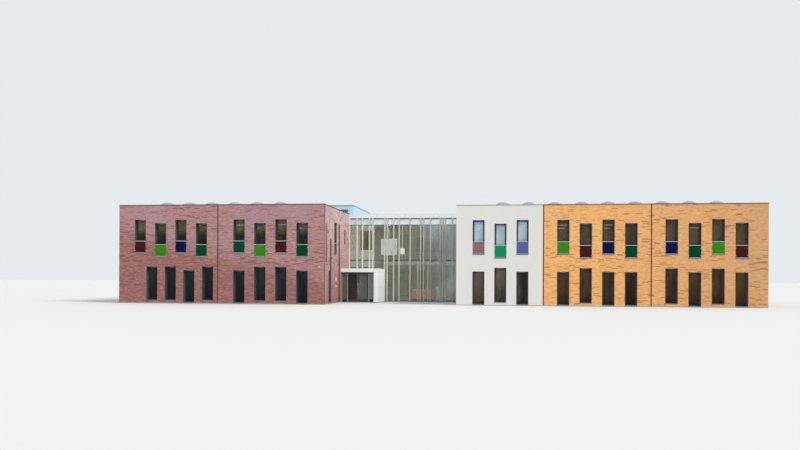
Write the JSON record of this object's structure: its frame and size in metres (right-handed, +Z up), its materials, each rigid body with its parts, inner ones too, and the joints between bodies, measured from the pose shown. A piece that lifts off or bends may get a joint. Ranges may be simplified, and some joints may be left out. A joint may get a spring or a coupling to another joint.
{
  "type": "after-school care centre, 1:2 scale model",
  "caption": "Long two-storey building: a red-brown brick wing, a glass hall with a porch, a white block and a yellow brick wing, with tall windows and coloured glass guards.",
  "frame": {"origin": "on the ground, at the middle of the building's length and depth", "axes": "+X along the front towards the yellow wing, +Y from the front to the rear, +Z up"},
  "size_m": [24.455, 11.05, 4.325],
  "materials": {
    "red_brick": "rough red-brown facing brick in recessed mortar",
    "yellow_brick": "rough yellow facing brick with orange-brown streaks",
    "white_render": "fine white render",
    "inner_plaster": "painted plaster",
    "dark_frame": "satin slate-blue coating",
    "clear_glass": "clear double glazing",
    "grey_metal": "folded grey sheet",
    "pale_metal": "satin metal rail",
    "dark_green_glass": "dark green laminated glass",
    "green_glass": "bright green laminated glass",
    "maroon_glass": "maroon laminated glass",
    "navy_glass": "navy laminated glass",
    "concrete": "smooth concrete",
    "roof_sheet": "grey mineral roofing sheet",
    "dark_coping": "dark folded metal",
    "pale_coping": "bluish-grey folded metal",
    "frosted_glass": "frosted pale green glass",
    "pale_timber": "pale oiled timber",
    "white_panel": "satin white panel",
    "steel": "brushed",
    "white_plastic": "weathered white plastic",
    "dome_acrylic": "clear acrylic shell",
    "blue_cladding": "pale blue ribbed cladding",
    "grey_partition": "pale grey painted board",
    "white_shade": "translucent white drum shade",
    "orange_cover": "orange upholstery",
    "stair_timber": "oiled timber treads",
    "white_steel": "off-white painted steel",
    "stair_glass": "pale green toughened glass"
  },
  "bodies": {
    "building": {"brick_copings": "dark_coping", "curved_bench": "orange_cover", "dark_green_guards": "dark_green_glass", "door_pivots": "steel", "entrance_frame": "dark_frame", "gallery_floor": "concrete", "gallery_rails": "white_steel", "green_guards": "green_glass", "guard_rails": "pale_metal", "hall_back_wall": "white_render", "hall_fascia": "white_panel", "hall_fins": "pale_timber", "hall_front_bars": "dark_frame", "hall_glass": "clear_glass", "hall_ground_floor": "concrete", "hall_landings": "concrete", "hall_partition": "grey_partition", "hall_pendants": "white_shade", "hall_roof": "roof_sheet", "hall_side_walls": "inner_plaster", "hall_spandrels": "frosted_glass", "left_back_wall": "red_brick", "left_end_wall": "red_brick", "left_front_wall": "red_brick", "left_return_wall": "red_brick", "maroon_guards": "maroon_glass", "navy_guards": "navy_glass", "partition_window_frame": "white_panel", "plant_room": "blue_cladding", "porch_roof": "white_panel", "porch_side_wall": "white_panel", "right_back_wall": "yellow_brick", "right_end_wall": "yellow_brick", "right_front_wall": "yellow_brick", "roof_light_domes": "dome_acrylic", "roof_light_kerbs": "white_plastic", "stair_balustrade": "stair_glass", "stair_handrails": "steel", "stair_stringers": "white_steel", "stair_treads": "stair_timber", "upper_floors": "concrete", "white_copings": "pale_coping", "white_front_wall": "white_render", "white_side_wall": "white_render", "window_frames": "dark_frame", "window_panes": "clear_glass", "window_sills": "grey_metal", "wing_ground_floors": "concrete", "wing_roofs": "roof_sheet"},
    "left_leaf": {"left_door": "dark_frame", "left_door_glass": "clear_glass", "left_door_handles": "steel"},
    "right_leaf": {"right_door": "dark_frame", "right_door_glass": "clear_glass", "right_door_handles": "steel"}
  },
  "joints": [
    {"name": "left_entrance_hinge", "type": "hinge", "parent": "building", "child": "left_leaf", "pos_m": [-3.7275, -2.255, 0.625], "axis": [0, 0, -1], "range_deg": [0, 90]},
    {"name": "right_entrance_hinge", "type": "hinge", "parent": "building", "child": "right_leaf", "pos_m": [-2.9325, -2.255, 0.625], "axis": [0, 0, 1], "range_deg": [0, 90]}
  ]
}
